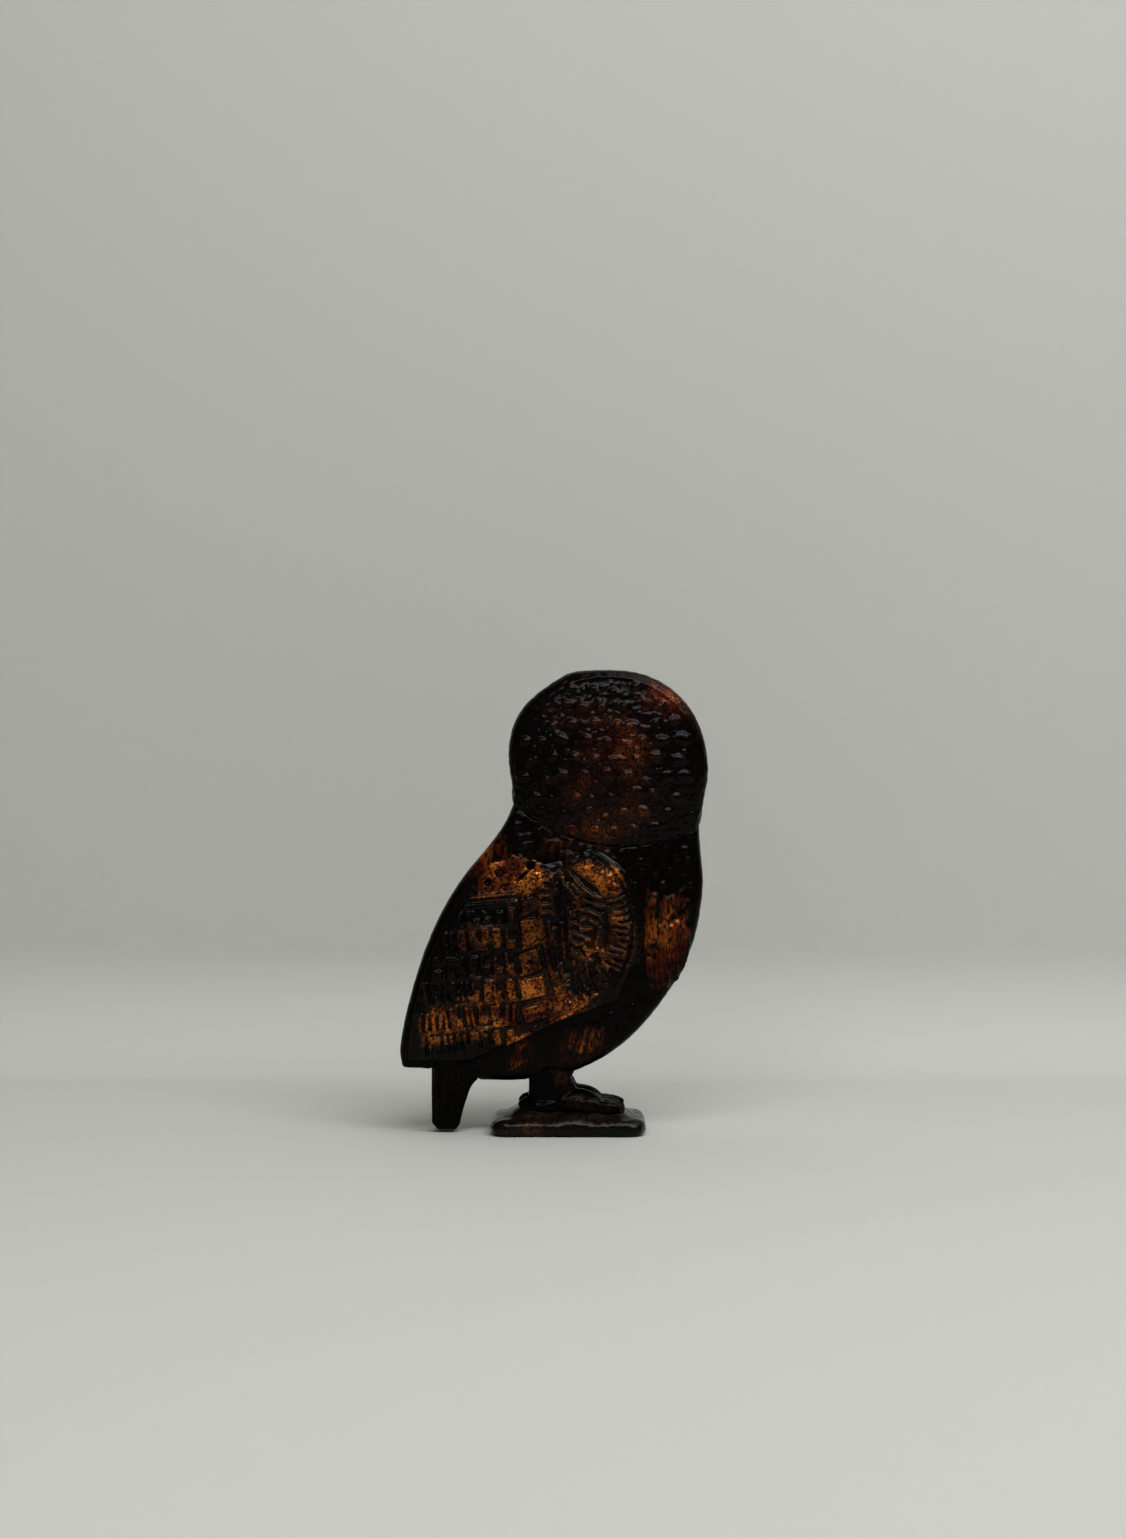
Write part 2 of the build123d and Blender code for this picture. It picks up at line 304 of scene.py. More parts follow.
wingLook = {
    # sizes in mm; wax is the strength of the sheen; low wear is what the ground between the relief gets
    "patinaDark": "#050303", "patinaLight": "#0f0a08",
    "rubbedRed": "#7e3a1c", "rubbedGold": "#cc7d38",
    "patinaRoughness": 0.22, "rubbedRoughness": 0.36, "wax": 0.18,
    "grainSize": 0.5, "cloudSize": 4.5, "streak": 1.0,
    "liftLow": 0.2, "liftHigh": 0.85, "lowWear": 0.08,
}
headLook = dict(wingLook, rubbedRed="#742c18", rubbedGold="#a2572a", lowWear=0.22, grainSize=0.42, wax=0.15)
bodyLook = dict(wingLook, rubbedRed="#6e2c1a", rubbedGold="#a8602e", lowWear=0.15, streak=0.4, wax=0.1)
darkLook = dict(wingLook, patinaDark="#030303", patinaLight="#0a0908", wax=0.07,
                rubbedRed="#4a2c1a", rubbedGold="#6b4a30", lowWear=0.5)
plinthLook = dict(darkLook, patinaLight="#1a1815", wax=0.2)

wingMetal = patinaMaterial("rubbed_bronze_wing", wingLook)      # black in the cuts, orange on the feathers
headMetal = patinaMaterial("studded_bronze", headLook)          # red-brown bloom between glossy knobs
bodyMetal = patinaMaterial("rubbed_bronze", bodyLook)           # dark, with copper streaks down the breast
darkMetal = patinaMaterial("dark_bronze", darkLook)             # almost all patina: legs and tail
plinthMetal = patinaMaterial("dark_bronze_plinth", plinthLook)  # greyer, with a dull copper edge: partly wear, partly a painted highlight where the top edge catches the light


wing = {
    "voxel": 0.18,          # mm
    "ground": 0.95,         # the wing's ground above the trunk
    "relief": 0.6,          # how proud the feathers stand
    "rim": 2.2,             # radius of the trunk's rim under the back edge
    "unevenness": 0.14,
    "seed": 4,
    # heights of the lines between the rows of feathers, at the blocks and at the back edge
    "rowsNear": (41.6, 36.1, 31.6, 27.7, 23.4, 19.3, 15.3, 11.3),
    "rowsFar": (39.8, 35.1, 30.6, 26.1, 21.6, 17.1, 12.6, 8.2),
    "backEdge": ((12.6, -27.8), (18.0, -27.3), (24.0, -26.0), (30.0, -24.1), (36.0, -21.4), (42.0, -17.9),
                 (46.0, -15.3), (52.0, -10.5)),
    "lowerEdge": ((-27.0, 12.0), (-17.0, 12.9), (-10.8, 15.5), (-6.0, 17.8), (0.3, 20.7), (4.9, 24.3),
                  (8.0, 25.5)),
    # the shoulder's ellipse: middle and half axes
    "shoulderX": 0.5, "shoulderZ": 35.7, "shoulderWide": 8.5, "shoulderTall": 11.5,
}
# x, z, width, height, turn of the great blocks
wingBlocks = ((-6.6, 39.6, 2.8, 1.9, 12), (-6.5, 35.1, 3.1, 4.2, 8), (-6.5, 29.9, 3.4, 3.1, 14),
              (-6.1, 25.6, 4.0, 3.2, 12), (-5.6, 21.2, 4.3, 2.6, 16))
# x, z, length of their slanting feet
blockFeet = ((-6.7, 38.3, 2.6), (-6.6, 32.6, 2.6), (-6.5, 31.6, 3.0), (-6.4, 28.2, 3.4), (-5.9, 24.0, 4.2))
# x, top, bottom of the small ridges inside the long one
innerRidges = ((-3.4, 36.6, 33.0), (-2.3, 35.6, 29.0), (-1.2, 36.5, 30.5), (-0.2, 39.0, 33.5),
               (-1.3, 29.5, 26.9), (0.9, 30.0, 25.8), (1.9, 30.5, 26.4), (2.9, 30.0, 27.0),
               (-2.1, 27.8, 25.0))
# x, z, length, turn of the chisel marks in the leaf
leafMarks = (
    (3.2, 41.4, 1.8, -24), (5.0, 40.8, 1.9, -22), (3.4, 40.1, 1.5, -26), (5.2, 39.4, 1.7, -20),
    (1.4, 39.9, 1.5, -12), (2.2, 38.8, 1.7, -24), (4.2, 38.2, 2.0, -28), (1.0, 38.2, 1.2, 80),
    (5.6, 37.6, 1.0, 80), (2.6, 37.2, 1.4, 20), (4.4, 36.6, 1.5, -30), (1.4, 36.4, 1.4, -10),
    (3.0, 35.4, 2.2, 4), (5.2, 35.2, 1.2, 70), (1.4, 34.6, 1.6, -32), (2.9, 33.9, 1.6, -38),
    (4.8, 33.4, 1.4, 75), (1.0, 33.2, 1.5, -48), (2.5, 32.6, 1.6, -50), (4.2, 31.7, 2.2, 24),
    (0.9, 31.5, 1.6, -62), (2.2, 31.0, 1.6, -55), (3.6, 30.3, 1.5, -20), (5.6, 31.2, 1.2, 60),
    (5.2, 29.2, 1.5, 35),
)
# x, z, half width, half height of the lumps on the shoulder
shoulderLumps = ((4.0, 46.0, 1.3, 0.6), (5.8, 44.8, 0.9, 0.9), (7.0, 43.2, 1.2, 0.7), (8.3, 44.9, 0.6, 0.8),
                 (3.0, 47.2, 1.2, 0.4))
# x, z, radius of the punched dots
wingPunches = ((-10.2, 48.7, 0.75), (-11.8, 45.1, 0.85), (-13.8, 43.5, 0.65), (-6.4, 46.4, 0.85),
               (-6.6, 29.8, 0.6), (-5.5, 25.5, 0.45), (-5.0, 21.0, 0.5), (8.0, 44.6, 0.5), (7.9, 43.6, 0.4),
               (3.6, 31.5, 0.4))


def wingDepth(x, z):
    # the wing's ground: it sinks into the neck, and follows the round rim of the trunk at the back
    rise = wing["ground"] * (1.0 - 0.92 * min(1.0, max(0.0, (z - 41.5) / 7.0)) * (x < 2))
    rim = wing["rim"]
    inset = min(rim, max(0.0, 0.86 * (x - backEdge(z)) + 0.7))
    drop = rim - math.sqrt(rim ** 2 - (rim - inset) ** 2)
    return trunkDepth(x, z) + rise - 0.9 * drop


def wingGround(name):
    # the plain wing with its feather pads pressed flat, to carve afresh
    ground = copyNode("right_wing", name)
    for vertex in ground.data.vertices:
        x, y, z = (value / mm for value in vertex.co)
        vertex.co.y = max(vertex.co.y, -wingDepth(x, z) * mm)
    remesh(ground, 0.25)
    soften(ground, 6)
    return ground


def rowLine(row, x):
    # height of the line between two rows of feathers; the rows fan out towards the back
    near, far = wing["rowsNear"][row], wing["rowsFar"][row]
    return near + (far - near) * (-8.5 - x) / 17.5


def along(table, value):
    # straight lines between the pairs of a table
    for (a0, b0), (a1, b1) in zip(table, table[1:]):
        if value <= a1:
            return b0 + (b1 - b0) * (value - a0) / (a1 - a0)
    return table[-1][1]


def backEdge(z):
    # x of the wing's back edge
    return along(wing["backEdge"], z)


def lowerEdge(x):
    # height of its lower edge
    return along(wing["lowerEdge"], x)


def carveWing():
    dice = random.Random(wing["seed"])
    rand = dice.uniform
    ground = wingGround("right_wing_cast")
    high = wing["relief"]
    relief = []
    flank = Flank(ground, -1, relief)
    # rows of small feathers
    for row in range(7):
        x = -9.9
        while x > -27:
            pitch = rand(1.75, 2.35)
            top, bottom = rowLine(row, x), rowLine(row + 1, x)
            if row == 0:
                top -= 2.1
            middle = (top + bottom) / 2
            if x < backEdge(middle) + 1.9:
                break
            bottom = max(bottom, lowerEdge(x) + 0.3)
            tall = top - bottom - rand(0.6, 1.3)
            middle = (top + bottom) / 2 + rand(-0.25, 0.25)
            if tall > 1.0:
                lean = 5 + rand(-9, 9)
                kind = dice.random()
                if kind < 0.5:
                    flank.block(x, middle, pitch * rand(0.6, 0.75), tall, high * rand(0.65, 1.1), lean)
                    flank.blob(x, middle - tall * 0.4, pitch * 0.36, 0.6, high * 1.1, segments=10)
                elif kind < 0.8:
                    for step in (-0.26, 0.26):
                        flank.block(x + step * pitch, middle, pitch * 0.26, tall, high * rand(0.8, 1.0), lean)
                else:
                    flank.block(x, middle - tall * 0.3, pitch * 0.7, tall * 0.4, high, lean)
                    flank.block(x - 0.25 * pitch, middle, pitch * 0.26, tall, high, lean)
            x -= pitch
    for row, height in ((0, 1.0), (1, 0.5), (3, 0.45), (4, 0.5), (5, 0.6)):
        start = backEdge(rowLine(row, -24)) + 2.2
        flank.stroke([(x, rowLine(row, x)) for x in (start, -14, -8.9)], 0.45, high * height)
    flank.stroke([(-17.6, 39.5), (-13, 39.9), (-9.0, 40.2)], 0.4, high * 0.8)
    # great blocks beside them, each with a slanting foot
    for x, z, wide, tall, angle in wingBlocks:
        flank.block(x, z, wide, tall, high, angle)
    for x, z, long in blockFeet:
        flank.stroke([(x - long / 2, z - 0.5), (x + long / 2, z + 0.6)], 0.45, high * 1.15)
    # long ridges between the blocks and the shoulder
    flank.stroke([(-5.0, 44.6), (-5.1, 40.5), (-4.6, 36.5), (-3.9, 32.5), (-3.2, 29.0), (-2.4, 26.6),
                  (-1.6, 23.4)], 0.75, high)
    flank.stroke([(-2.9, 44.0), (-2.8, 41.0), (-2.4, 37.5)], 0.5, high * 0.8)
    for z in (43.7, 42.4, 41.1, 39.6, 38.2):
        flank.stroke([(-4.7, z), (-3.0, z + 0.1)], 0.5, high * rand(0.6, 0.95))
    for x, top, bottom in innerRidges:
        flank.stroke([(x, top), (x + 0.35, (top + bottom) / 2), (x + 0.5, bottom)],
                     rand(0.45, 0.65), high * rand(0.6, 0.9))
    for z in (27.3, 26.5, 25.7):
        flank.stroke([(-1.2, z), (0.3, z + 0.25)], 0.42, high * 0.9)
    # fan of quills that spreads from the shoulder
    for points in (
        [(-3.6, 45.2), (-2.6, 43.6), (-2.1, 41.8)],
        [(-1.6, 45.0), (-0.7, 43.0), (0.9, 41.2), (2.8, 39.8)],
        [(-0.6, 45.9), (0.8, 44.2), (2.2, 42.6), (3.9, 41.4)],
        [(0.7, 46.0), (2.6, 44.6), (4.4, 43.0)],
        [(1.9, 46.2), (3.6, 45.3), (5.2, 44.0)],
        [(0.5, 43.2), (1.6, 41.9), (2.6, 40.9)],
    ):
        flank.stroke(points, 0.55, high * 0.9)
    # hatched leaf inside the shoulder: short thick chisel marks
    for x, z, long, angle in leafMarks:
        dx, dz = long / 2 * math.cos(math.radians(angle)), long / 2 * math.sin(math.radians(angle))
        flank.stroke([(x - dx, z - dz), (x + dx, z + dz)], rand(0.5, 0.7), high * rand(0.75, 1.1))
    # roped band round the shoulder
    middleX, middleZ = wing["shoulderX"], wing["shoulderZ"]
    halfWide, halfTall = wing["shoulderWide"], wing["shoulderTall"]
    for n in range(29):
        angle = math.radians(-58 + 5.5 * n)
        x, z = middleX + halfWide * math.cos(angle), middleZ + halfTall * math.sin(angle)
        lie = math.degrees(math.atan2(math.sin(angle) / halfTall, math.cos(angle) / halfWide)) + rand(-12, 4)
        flank.block(x, z, rand(2.7, 3.3), rand(0.5, 0.7), high * rand(0.8, 1.05), lie)
    for wide, tall, thick, height in ((6.6, 9.7, 0.4, 0.7), (11.0, 13.6, 0.5, 0.75)):
        flank.stroke(arc(middleX, middleZ, wide, tall, -48, 80), thick, high * height)
    # bright lower edge
    flank.stroke([(4.9, 24.5), (2.4, 22.4), (0.3, 21.1), (-3.0, 19.5), (-6.0, 18.2), (-10.6, 15.9)],
                 0.6, high * 1.1)
    # lumps on the shoulder
    for x, z, wide, tall in shoulderLumps:
        flank.blob(x, z, wide, tall, high * 1.1, rand(-30, 30))
    # hatch above the front end of the lower edge
    for x, z in ((-0.4, 23.2), (0.9, 23.9), (2.2, 24.5), (3.4, 25.0)):
        flank.stroke([(x - 0.9, z + 0.8), (x + 0.9, z - 0.8)], 0.45, high * 0.8)
    # rough casting skin: crumbs all over, denser where the wing meets the neck
    for n in range(420):
        x = rand(-26.0, 11.5)
        z = rand(13.0, 50.0)
        if x > backEdge(z) + 2.0 and z > lowerEdge(x) + 0.6:
            flank.blob(x, z, rand(0.2, 0.55), rand(0.15, 0.3), rand(0.2, 0.5) * high, rand(-90, 90), 8)
    for n in range(70):
        t = dice.random()
        x, z = -10.2 + 14.5 * t, 49.4 - 14.0 * t * (1 - t) + rand(-1.6, 0.4)
        flank.blob(x, z, rand(0.5, 1.3), rand(0.3, 0.6), rand(0.15, 0.4) * high, rand(-60, 60), 10)
    # mantle: thin lip along its lower side
    flank.stroke([(-8.6, 43.2), (-6.6, 45.0), (-5.6, 46.4)], 0.5, high * 0.6)
    cast = joined(ground, *relief)
    remesh(cast, wing["voxel"])
    # punched dots and cuts
    cuts = []
    cutter = Flank(cast, -1, cuts)
    for x, z, r in wingPunches:
        cutter.blob(x, z, r, r, r)
    cutter.blob(-7.9, 44.6, 1.9, 0.36, 0.55, 44)
    carve(cast, cuts, 0.12)
    remesh(cast, wing["voxel"])
    soften(cast, 2)
    roughen(cast, "wing_clouds", 0.9, wing["unevenness"])
    return cast


wingZones = [
    # x, z, half width, half height, wear, how evenly it is worn between the relief
    (-12.5, 45.5, 7.5, 5.5, 1.0, 0.95), (-8.0, 44.4, 4.5, 3.8, 1.0, 0.8),
    (-11.0, 25.0, 5.5, 3.6, 0.75, 0.0), (-10.5, 21.5, 9.0, 4.2, 0.95, 0.0), (-20.0, 19.6, 8.0, 3.4, 0.6, 0.0),
    (-23.0, 17.5, 4.0, 2.6, 0.45, 0.0), (-6.0, 24.5, 3.8, 5.5, 0.95, 0.3), (-1.5, 22.4, 6.5, 3.4, 0.95, 0.6),
    (-10.0, 17.5, 4.0, 2.6, 0.7, 0.0), (-13.0, 34.0, 6.0, 2.8, 0.3, 0.0), (-6.5, 34.0, 3.5, 5.0, 0.26, 0.0),
    (-10.0, 29.6, 4.5, 2.4, 0.55, 0.0), (7.0, 43.8, 3.2, 3.0, 1.0, 0.4), (3.6, 46.0, 2.8, 1.8, 0.85, 0.2),
    (4.6, 32.6, 2.4, 2.2, 0.8, 0.1), (8.4, 33.0, 3.5, 6.0, 0.35, 0.0), (0.0, 36.0, 11.0, 13.0, 0.15, 0.0),
]

rightWing = carveWing()
leftWing = rightWing.copy()
leftWing.data = rightWing.data.copy()
leftWing.name = "left_wing_cast"
bpy.context.scene.collection.objects.link(leftWing)
activate(leftWing)
leftWing.scale.y = -1.0
bpy.ops.object.transform_apply(location=False, rotation=False, scale=True)
bpy.ops.object.mode_set(mode="EDIT")
bpy.ops.mesh.select_all(action="SELECT")
bpy.ops.mesh.normals_make_consistent(inside=False)
bpy.ops.object.mode_set(mode="OBJECT")
for obj, node in ((rightWing, "right_wing"), (leftWing, "left_wing")):
    paintWear(obj, wingDepth, wing["relief"], wingZones, pit=0.22)
    finishPiece(obj, node, wingMetal)
print("stage: wings done")


head = {
    "voxel": 0.208,
    "studPitch": 3.5,
    "studHeight": 0.6,
    "seed": 11,
    "unevenness": 0.2,
    "seatX": 9.09, "seatZ": 76.87, "seatRadius": 27.0,      # the arc that sits on the body
}


def seatLine(x):
    # height of the joint with the body
    return head["seatZ"] - math.sqrt(head["seatRadius"] ** 2 - (x - head["seatX"]) ** 2)


def carveHead():
    dice = random.Random(head["seed"])
    rand = dice.uniform
    blank = copyNode("head", "head_cast")
    for vertex in blank.data.vertices:
        x, y, z = (value / mm for value in vertex.co)
        reach = headDepth(x, z)
        vertex.co.y = max(-reach, min(reach, y)) * mm
    remesh(blank, 0.3)
    soften(blank, 8)
    relief = []
    for side in (-1, 1):
        flank = Flank(blank, side, relief)
        for row in range(9):
            for column in range(10):
                x = -9.6 + head["studPitch"] * (column + 0.5 * (row % 2)) + rand(-0.6, 0.6)
                z = 52.4 + 0.87 * head["studPitch"] * row + rand(-0.6, 0.6)
                inHead = math.hypot(x - 6.9, (z - 63.3) * 1.02) < 15.2
                inFace = side > 0 and math.hypot(x - 6.9, z - 65.0) < 12.4
                if not inHead or inFace:
                    continue
                size = dice.choice((0.6, 0.7, 0.8, 0.9, 1.0, 1.25))
                flank.blob(x, z, size * rand(0.95, 1.35), size * rand(0.65, 0.95),
                           head["studHeight"] * rand(0.7, 1.0), rand(-25, 25))
                if dice.random() < 0.3:
                    flank.blob(x + rand(-1.3, 1.3), z + rand(-1.2, 1.2), 0.45, 0.35, 0.4, rand(-40, 40), 10)
        # shallow pits and crumbs between the knobs
        for n in range(420):
            angle, reach = rand(0, 2 * math.pi), 14.5 * math.sqrt(dice.random())
            x, z = 6.9 + reach * math.cos(angle), 63.3 + reach * math.sin(angle)
            if side > 0 and math.hypot(x - 6.9, z - 65.0) < 11.6:
                continue
            flank.blob(x, z, rand(0.2, 0.55), rand(0.15, 0.3), rand(0.12, 0.3), rand(-50, 50), segments=8)
        # metal run over the joint with the body
        for n in range(40):
            x = -9.3 + 31.8 * n / 39
            seamZ = seatLine(x)
            flank.blob(x, seamZ + 0.6, 1.3, 2.2, 0.05, 0, segments=12)
            flank.blob(x + rand(-0.5, 0.5), seamZ + rand(0.2, 1.4), rand(0.3, 0.8), rand(0.3, 0.6),
                       rand(0.25, 0.45), rand(-40, 40), 10)
        # thin lip inside the rim
        flank.stroke(arc(6.9, 63.6, 15.9, 15.2, 18, 196), 0.5, 0.16)
    cast = joined(blank, *relief)
    remesh(cast, head["voxel"])
    soften(cast, 2)
    roughen(cast, "head_clouds", 1.1, head["unevenness"])
    return cast


headZones = [
    (8.5, 66.5, 8.5, 7.0, 0.45, 0.45), (3.5, 60.0, 6.0, 5.0, 0.33, 0.35), (17.0, 75.0, 6.5, 4.5, 0.5, 0.7),
    (8.5, 56.5, 8.0, 4.5, 0.36, 0.3), (1.5, 72.5, 6.0, 4.0, 0.28, 0.25), (4.0, 52.0, 9.0, 4.0, 0.45, 0.3),
]
headCast = carveHead()
paintWear(headCast, headDepth, head["studHeight"], headZones)
finishPiece(headCast, "head", headMetal)
print("stage: head done")


# x, top, bottom
thighRidges = ((-9.6, 15.8, 11.4), (-8.4, 16.4, 12.2), (0.2, 18.4, 15.2), (2.0, 18.6, 14.2),
               (3.6, 18.8, 14.4), (5.2, 19.8, 15.6), (6.6, 20.8, 17.0))
body = {"voxel": 0.268, "relief": 0.35, "seed": 7, "unevenness": 0.16}


def carveBody():
    dice = random.Random(body["seed"])
    rand = dice.uniform
    blank = copyNode("body", "body_cast")
    remesh(blank, 0.3)
    soften(blank, 4)
    relief = []
    high = body["relief"]
    for side in (-1, 1):
        flank = Flank(blank, side, relief)
        # long plumes down the breast
        for n in range(90):
            x = rand(13.2, 20.6)
            z = rand(26.5, 41.0)
            long = rand(0.5, 1.6)
            if x - 0.35 * (z - 22) > 17.5:
                continue
            flank.stroke([(x, z + long), (x - 0.25, z - long)], rand(0.35, 0.7), high * rand(0.6, 1.5))
        # small knobs below the throat
        for row in range(6):
            for column in range(5):
                x = 11.2 + 2.4 * column + 1.2 * (row % 2) + rand(-0.5, 0.5)
                z = 42.8 + 2.2 * row + rand(-0.5, 0.5)
                if 10.5 < x < 21.2:
                    flank.blob(x, z, rand(0.4, 0.75), rand(0.3, 0.55), high * rand(0.7, 1.1), rand(-20, 20))
        # crumbs of down between the shoulder and the head
        for n in range(150):
            x = rand(-9.0, 13.0)
            z = rand(46.0, 55.5)
            flank.blob(x, z, rand(0.3, 1.0), rand(0.2, 0.45), high * rand(0.6, 1.3), rand(-45, 45), 10)
        # ridges over the thighs, and the bars above the tail
        for x, top, bottom in thighRidges:
            flank.stroke([(x + 0.9, top), (x, bottom)], rand(0.5, 0.8), high)
        flank.stroke([(-19.0, 12.0), (-15.0, 12.5)], 0.4, high)
        flank.stroke([(-19.0, 11.3), (-15.0, 11.7)], 0.4, high)
    cast = joined(blank, *relief)
    remesh(cast, body["voxel"])
    cuts = []
    for side in (-1, 1):
        cutter = Flank(cast, side, cuts)
        for n in range(26):
            t = dice.random()
            x, z = 8.0 + 11.0 * t + rand(-2.2, 1.6), 18.5 + 9.0 * t + rand(-1.6, 3.4)
            r = rand(0.28, 0.5)
            cutter.blob(x, z, r, r * rand(1.0, 1.8), r, rand(-20, 20), segments=10)
    carve(cast, cuts, 0.15)
    remesh(cast, body["voxel"])
    soften(cast, 2)
    roughen(cast, "body_clouds", 1.5, body["unevenness"])
    return cast


bodyZones = [
    (16.6, 33.5, 4.8, 8.8, 0.66, 0.0), (19.0, 28.0, 3.2, 5.0, 0.55, 0.0), (13.4, 40.0, 3.5, 3.0, 0.4, 0.1),
    (2.4, 14.8, 5.0, 4.6, 0.42, 0.1), (-9.0, 14.0, 3.5, 4.0, 0.4, 0.1), (-2.0, 12.0, 4.0, 2.4, 0.4, 0.1),
    (3.0, 51.0, 9.0, 4.0, 0.3, 0.3),
    (-14.0, 47.0, 4.5, 6.5, 0.9, 0.8),
]
bodyCast = carveBody()
paintWear(bodyCast, trunkDepth, body["relief"], bodyZones)
finishPiece(bodyCast, "body", bodyMetal)
print("stage: body done")


tail = {"voxel": 0.16, "relief": 0.3, "sideRelief": 0.25, "unevenness": 0.12}


def carveTail():
    blank = copyNode("tail", "tail_cast")
    remesh(blank, 0.2)
    soften(blank, 6)
    relief = []
    for side in (-1, 1):
        flank = Flank(blank, side, relief)
        for x, top in ((-22.7, 12.8), (-21.4, 12.8), (-20.1, 12.8), (-18.9, 12.6)):
            flank.stroke([(x, top), (x + 0.1, 2.4)], 0.65, tail["relief"])
        flank.stroke([(-17.9, 12.6), (-18.0, 6.4)], 0.5, tail["sideRelief"])
    cast = joined(blank, *relief)
    remesh(cast, tail["voxel"])
    soften(cast, 3)
    roughen(cast, "tail_clouds", 1.4, tail["unevenness"])
    return cast


tailCast = carveTail()
paintWear(tailCast, None, 1.0, [(-20.0, 8.0, 5.0, 6.0, 0.1, 0.0)])
finishPiece(tailCast, "tail", darkMetal)


def addLump(x, y, z, wide, deep, tall):
    lump = bpy.data.objects.new("lump", shapeMesh("sphere", 32))
    lump.location = (x * mm, y * mm, z * mm)
    lump.scale = (wide * mm, deep * mm, tall * mm)
    bpy.context.scene.collection.objects.link(lump)
    return lump


legs = {"voxel": 0.16, "smoothing": 30, "unevenness": 0.3}

for node, side in (("right_leg", -1), ("left_leg", 1)):
    leg = copyNode(node, node + "_cast")
    # the toes run together into two humps, under a shank that spreads at both ends
    lumps = [addLump(0.6, side * 3.3, 5.3, 4.6, 2.7, 2.5), addLump(3.2, side * 3.4, 5.0, 3.0, 2.7, 2.3),
             addLump(6.4, side * 3.4, 4.1, 3.4, 2.6, 1.6), addLump(-3.4, side * 3.2, 4.8, 4.6, 2.7, 1.8),
             addLump(-2.2, side * 3.2, 7.6, 3.6, 2.3, 3.2), addLump(-3.2, side * 3.2, 11.0, 4.3, 2.2, 2.2),
             addLump(-2.6, side * 3.2, 9.4, 3.3, 2.2, 3.4)]
    leg = joined(leg, *lumps)
    remesh(leg, legs["voxel"])
    soften(leg, legs["smoothing"])
    roughen(leg, node + "_clouds", 1.6, legs["unevenness"])
    paintWear(leg, None, 1.0, [(-0.5, 11.0, 3.0, 3.0, 0.22, 0.0), (4.0, 5.6, 6.0, 1.6, 0.15, 0.0)])
    finishPiece(leg, node, darkMetal)

plinth = {"voxel": 0.2, "smoothing": 110, "unevenness": 0.4}

plinthCast = copyNode("plinth", "plinth_cast")
# an uneven mound that runs out to the edge of the slab
plinthCast = joined(plinthCast, addLump(-5.0, 0.0, 2.3, 8.0, 7.4, 1.9),
                    addLump(0.5, 0.0, 2.4, 9.0, 8.2, 2.0), addLump(5.0, 0.0, 2.2, 8.0, 7.8, 1.6))
remesh(plinthCast, plinth["voxel"])
soften(plinthCast, plinth["smoothing"])
roughen(plinthCast, "plinth_clouds", 2.6, plinth["unevenness"])
for vertex in plinthCast.data.vertices:
    vertex.co.z = max(vertex.co.z, 0.0)     # the underside stays flat on the ground
# the left end is rubbed to copper; the faint copper band all round at the top edge's height is partly wear
# and partly a painted highlight of the lit edge
paintWear(plinthCast, None, 1.0, [(-6.5, 1.0, 5.0, 1.6, 0.9, 0.0), (0.0, 3.0, 14.0, 0.8, 0.2, 0.0)])
finishPiece(plinthCast, "plinth", plinthMetal)


face = {"voxel": 0.12, "unevenness": 0.08, "eyesX": (1.3, 12.5), "eyeZ": 66.4, "rays": 28}


def carveFace():
    blank = copyNode("face", "face_cast")
    remesh(blank, 0.14)
    soften(blank, 4)
    relief = []
    flank = Flank(blank, 1, relief)
    eyeZ = face["eyeZ"]
    for eyeX in face["eyesX"]:
        for n in range(face["rays"]):
            angle = 2 * math.pi * n / face["rays"]
            dx, dz = math.cos(angle), math.sin(angle)
            # two rings of short rays round each eye: inner end, outer end, width, height
            for inner, outer, wide, high in ((4.7, 5.4, 0.4, 0.2), (2.9, 3.3, 0.3, 0.15)):
                flank.stroke([(eyeX + inner * dx, eyeZ + inner * dz), (eyeX + outer * dx, eyeZ + outer * dz)],
                             wide, high)
    cast = joined(blank, *relief)
    remesh(cast, face["voxel"])
    soften(cast, 2)
    roughen(cast, "face_clouds", 1.2, face["unevenness"])
    return cast


faceCast = carveFace()
paintWear(faceCast, headDepth, 1.6, [(6.9, 64.0, 13.0, 10.0, 0.6, 0.0)])
finishPiece(faceCast, "face", headMetal)
print("stage: small castings done")


studio = {
    "sweepColour": "#c4c5c0",
    "floorFront": -0.28, "halfWidth": 1.2, "wallHeight": 1.2,
    "floorEnd": 0.065,      # where the paper starts to rise behind the owl, in metres
    "bend": 0.025,
    "keyPower": 3.25,
    "washPower": 3.3,
    "fillPower": 0.15,
    "sky": 0.09,
    "skySeen": 0.45,
}


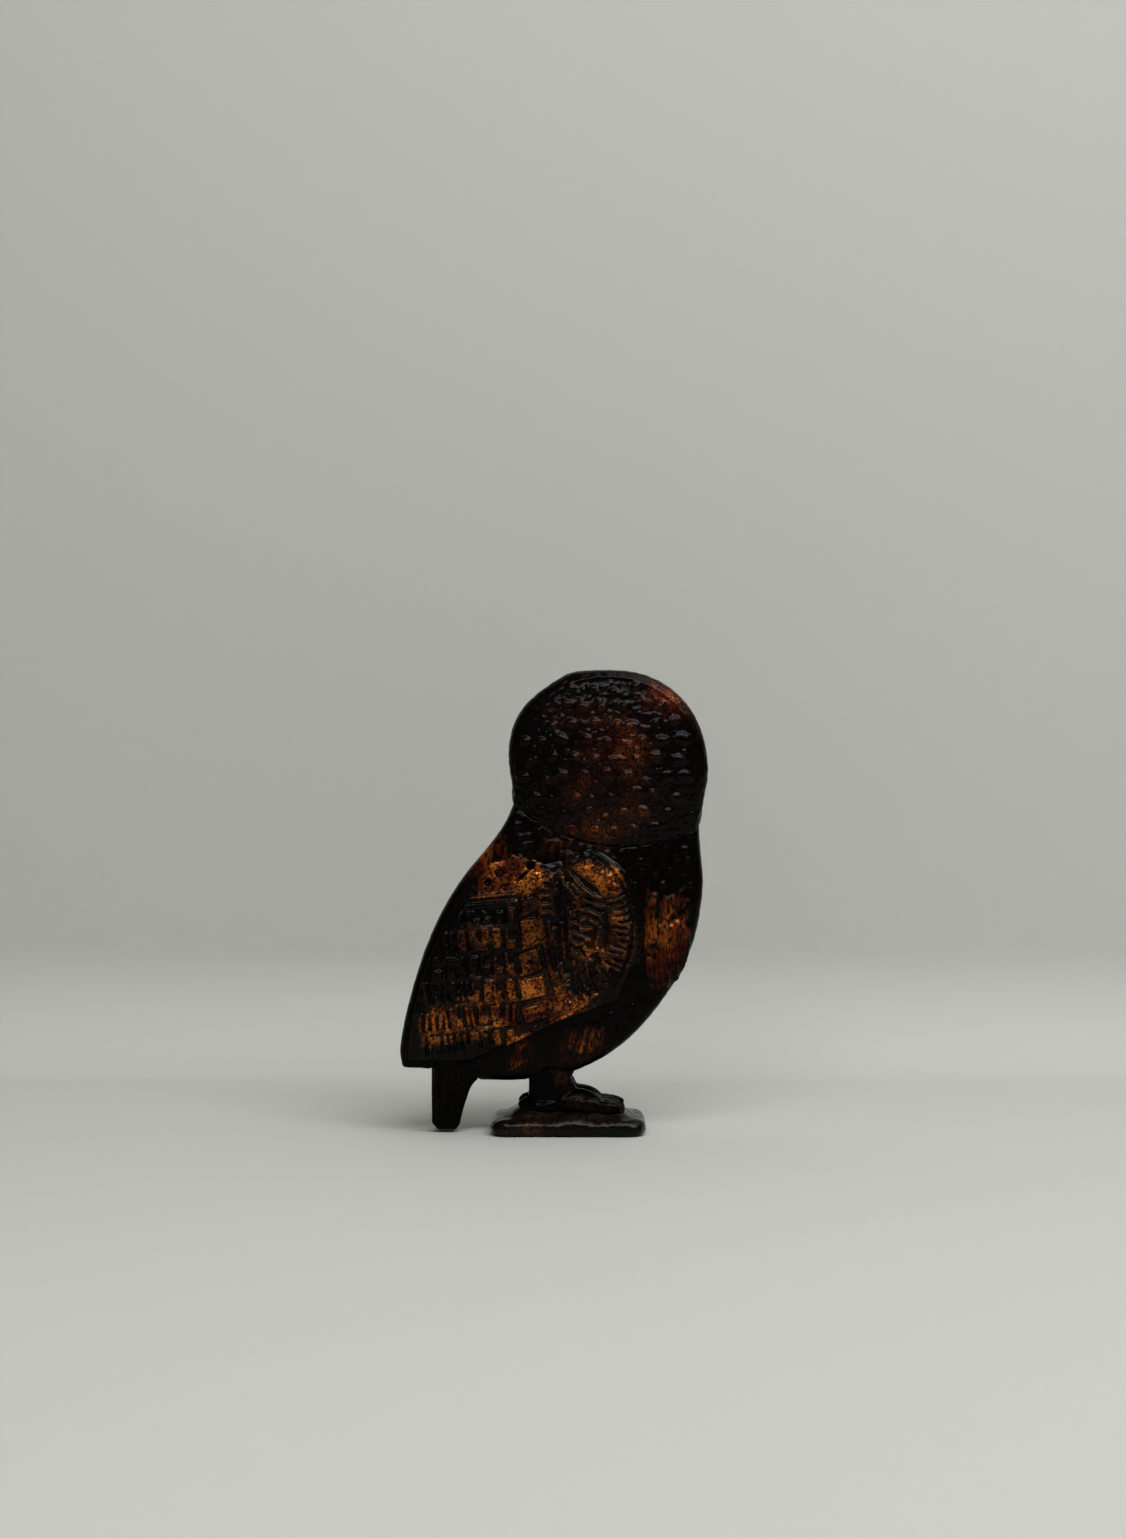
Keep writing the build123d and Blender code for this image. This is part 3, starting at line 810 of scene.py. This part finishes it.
def buildSweep():
    # one sheet of paper: floor, bend and wall
    end, bend, half = studio["floorEnd"], studio["bend"], studio["halfWidth"]
    profile = [(studio["floorFront"], 0.0), (end, 0.0)]
    for n in range(1, 17):
        angle = math.radians(90 * n / 16)
        profile.append((end + bend * math.sin(angle), bend * (1 - math.cos(angle))))
    profile.append((end + bend, studio["wallHeight"]))
    corners = [(x, y, z) for y, z in profile for x in (-half, half)]
    faces = [(2 * n, 2 * n + 1, 2 * n + 3, 2 * n + 2) for n in range(len(profile) - 1)]
    mesh = bpy.data.meshes.new("paper_sweep")
    mesh.from_pydata(corners, [], faces)
    sweep = bpy.data.objects.new("paper_sweep", mesh)
    bpy.context.scene.collection.objects.link(sweep)
    activate(sweep)
    bpy.ops.object.shade_smooth()
    paper = bpy.data.materials.new("matt_paper")   # pale grey studio paper, no sheen
    paper.use_nodes = True
    tree = paper.node_tree
    tree.nodes.clear()
    surface = addNode(tree, "ShaderNodeBsdfPrincipled", {
        "Base Color": linearColour(studio["sweepColour"]), "Roughness": 0.75, "Specular IOR Level": 0.3})
    # looked at from behind, the paper isn't seen, so that it never hides the owl
    side = addNode(tree, "ShaderNodeNewGeometry")
    ray = addNode(tree, "ShaderNodeLightPath")
    hidden = addNode(tree, "ShaderNodeMath", {"operation": "MULTIPLY"},
                     {0: (side, "Backfacing"), 1: (ray, "Is Camera Ray")})
    clear = addNode(tree, "ShaderNodeBsdfTransparent")
    shown = addNode(tree, "ShaderNodeMixShader", None,
                    {0: (hidden, 0), 1: (surface, "BSDF"), 2: (clear, "BSDF")})
    addNode(tree, "ShaderNodeOutputMaterial", None, {"Surface": (shown, "Shader")})
    mesh.materials.append(paper)


def addLamp(name, place, aim, size, power, colour="#ffffff"):
    bpy.ops.object.light_add(type="AREA", location=place)
    lamp = bpy.context.object
    lamp.name = name
    lamp.data.shape = "RECTANGLE"
    lamp.data.size, lamp.data.size_y = size
    lamp.data.energy = power
    lamp.data.color = linearColour(colour)[:3]
    lamp.rotation_euler = (Vector(aim) - Vector(place)).to_track_quat("-Z", "Y").to_euler()


buildSweep()
addLamp("overhead_soft", (0.35, -0.05, 0.75), (0.0, 0.0, 0.03), (0.9, 0.7), studio["keyPower"])
addLamp("wall_wash", (0.15, -0.45, 0.58), (0.05, 0.1, 0.12), (0.9, 0.25), studio["washPower"])
addLamp("front_soft", (-0.5, -0.9, 0.45), (0.0, 0.0, 0.04), (0.7, 0.7), studio["fillPower"])
world = bpy.data.worlds.new("studio_air")
world.use_nodes = True
# a dim room for the light, but as pale as the paper where the camera sees past it
air = world.node_tree.nodes["Background"]
air.inputs["Color"].default_value = linearColour("#f4f5f2")
ray = addNode(world.node_tree, "ShaderNodeLightPath")
glow = addNode(world.node_tree, "ShaderNodeMapRange",
               {"To Min": studio["sky"], "To Max": studio["skySeen"]}, {"Value": (ray, "Is Camera Ray")})
world.node_tree.links.new(glow.outputs["Result"], air.inputs["Strength"])
bpy.context.scene.world = world

bpy.ops.object.camera_add(location=(-0.0009, -0.420, 0.0629), rotation=(math.radians(90), 0, 0))
camera = bpy.context.object
camera.data.sensor_fit = "VERTICAL"
camera.data.sensor_height = 36.0
camera.data.lens = 56.5
bpy.context.scene.camera = camera
bpy.context.scene.view_settings.view_transform = "Standard"
bpy.context.scene.view_settings.look = "Medium High Contrast"
print("stage: studio done")
